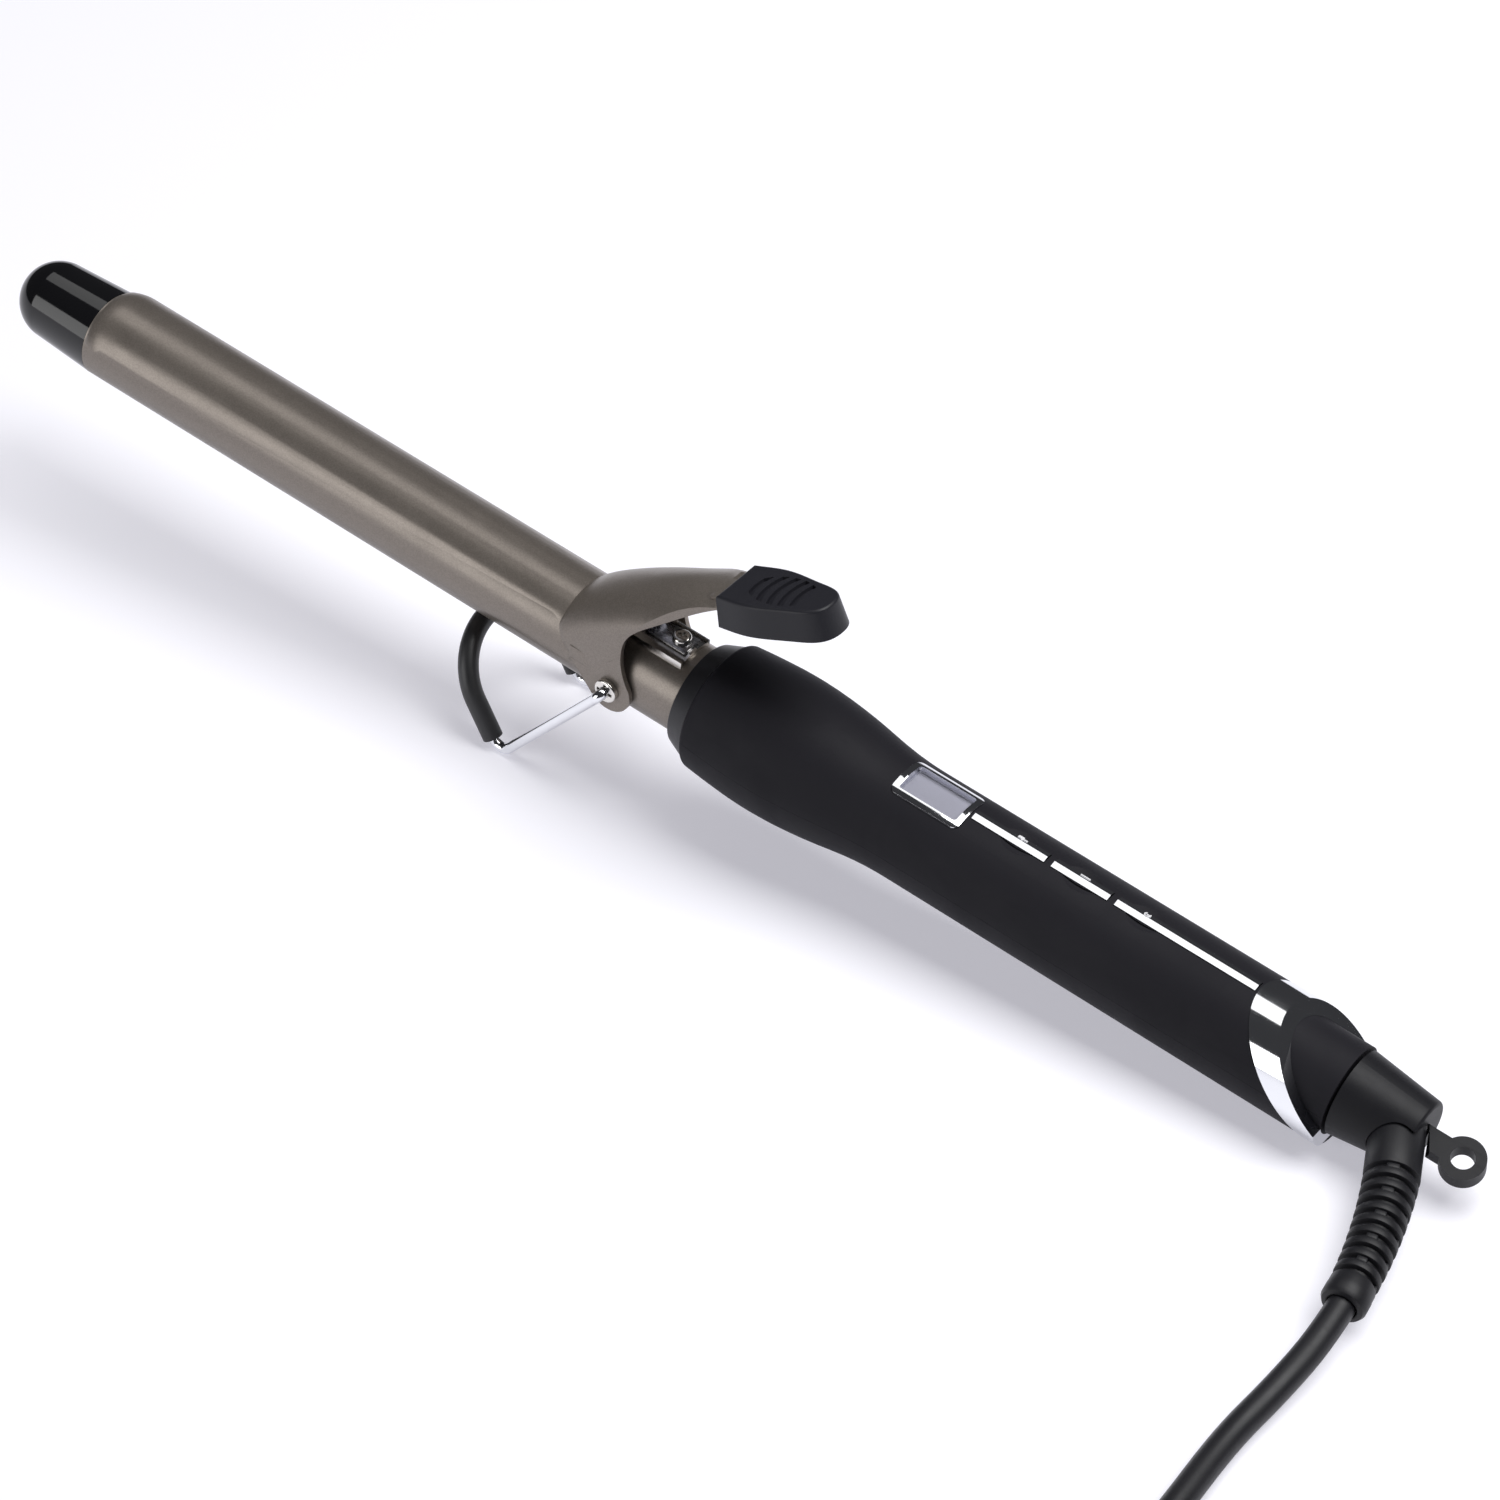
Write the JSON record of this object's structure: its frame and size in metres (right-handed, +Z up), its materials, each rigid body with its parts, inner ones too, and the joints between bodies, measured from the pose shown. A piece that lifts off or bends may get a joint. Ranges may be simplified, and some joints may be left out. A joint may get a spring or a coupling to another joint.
{
  "type": "curling iron",
  "caption": "Slim hair curling iron with a sprung clamp, a wire rest stand, a display with keys on the handle and a swivel cord, standing on its rest.",
  "frame": {"origin": "centre of the iron's footprint at floor level, with the iron on its stand and its tail", "axes": "+X from the tip towards the tail, along the floor; +Z up; -Y is the side the cord leaves on"},
  "size_m": [0.5259, 0.2231, 0.0783],
  "materials": {
    "barrel_paint": "satin warm grey metallic coat",
    "gloss_black": "gloss black moulded tip",
    "rest_black": "satin blue-black moulding",
    "shell_black": "soft-touch near-black",
    "collar_black": "satin black moulding",
    "chrome": "bright plate",
    "nickel": "nickel plated",
    "spring_steel": "bright rolled steel",
    "rubber_black": "matte black",
    "cord_black": "smooth black PVC jacket",
    "lens_clear": "clear window",
    "lcd_grey": "light grey reflective display",
    "aluminium": "extruded",
    "ceramic": "pale ceramic",
    "board_green": "solder mask green",
    "dark_plastic": "moulded component case",
    "lead_insulation": "silicone sleeve",
    "brass": "turned contact metal"
  },
  "bodies": {
    "iron": {"barrel": "barrel_paint", "tip_cap": "gloss_black", "upper_shell": "shell_black", "lower_shell": "shell_black", "front_collar": "collar_black", "end_ring": "chrome", "display_bezel": "chrome", "hinge_screws": "nickel", "saddle_screw": "nickel", "shell_screw": "nickel", "spring_saddle": "spring_steel", "clamp_spring": "spring_steel", "hinge_bar": "spring_steel", "display_lens": "lens_clear", "lcd_panel": "lcd_grey", "upper_heat_spreader": "aluminium", "lower_heat_spreader": "aluminium", "ptc_heater": "ceramic", "temperature_sensor": "ceramic", "thermal_fuse": "ceramic", "control_board": "board_green", "tact_switches": "dark_plastic", "microcontroller": "dark_plastic", "triac": "dark_plastic", "capacitor": "dark_plastic", "brush_holder": "dark_plastic", "barrel_holder": "dark_plastic", "heater_leads": "lead_insulation", "mains_leads": "lead_insulation", "brush_contacts": "brass"},
    "clamp": {"clamp": "barrel_paint", "thumb_rest": "rest_black"},
    "stand": {"stand_wire": "chrome", "stand_sleeve": "rubber_black"},
    "plus_key": {"plus_key": "chrome"},
    "minus_key": {"minus_key": "chrome"},
    "power_key": {"power_key": "chrome"},
    "swivel": {"swivel_housing": "collar_black", "slip_rings": "brass", "strain_relief": "rubber_black", "power_cord": "cord_black", "cord_coil": "cord_black", "cord_tie": "rubber_black", "plug_lead": "cord_black", "plug_body": "cord_black", "plug_pins": "nickel"}
  },
  "joints": [
    {"name": "clamp_hinge", "type": "hinge", "parent": "iron", "child": "clamp", "pos_m": [-0.01835, 0, 0.03335], "axis": [0, 1, 0], "range_deg": [0, 24], "stiffness_Nm_per_rad": 0.6, "springref_deg": -14.32, "deforming": ["clamp_spring"]},
    {"name": "stand_hinge", "type": "hinge", "parent": "iron", "child": "stand", "pos_m": [-0.01835, 0, 0.03335], "axis": [0, -1, 0], "range_deg": [0, 98]},
    {"name": "plus_press", "type": "hinge", "parent": "iron", "child": "plus_key", "pos_m": [0.07637, 0, 0.03681], "axis": [0, 1, 0], "range_deg": [0, 2.8], "stiffness_Nm_per_rad": 0.45, "springref_deg": -0.29},
    {"name": "minus_press", "type": "slide", "parent": "iron", "child": "minus_key", "axis": [-0.1073, 0, -0.9942], "range_m": [0, 0.0006], "stiffness_N_per_m": 2500, "springref_m": -0.0001},
    {"name": "power_press", "type": "hinge", "parent": "iron", "child": "power_key", "pos_m": [0.15084, 0, 0.02877], "axis": [0, -1, 0], "range_deg": [0, 1.15], "stiffness_Nm_per_rad": 2.5, "springref_deg": -0.11},
    {"name": "cord_swivel", "type": "hinge", "parent": "iron", "child": "swivel", "pos_m": [0.1846, 0, 0.01266], "axis": [0.9942, 0, -0.1073], "continuous": true}
  ]
}
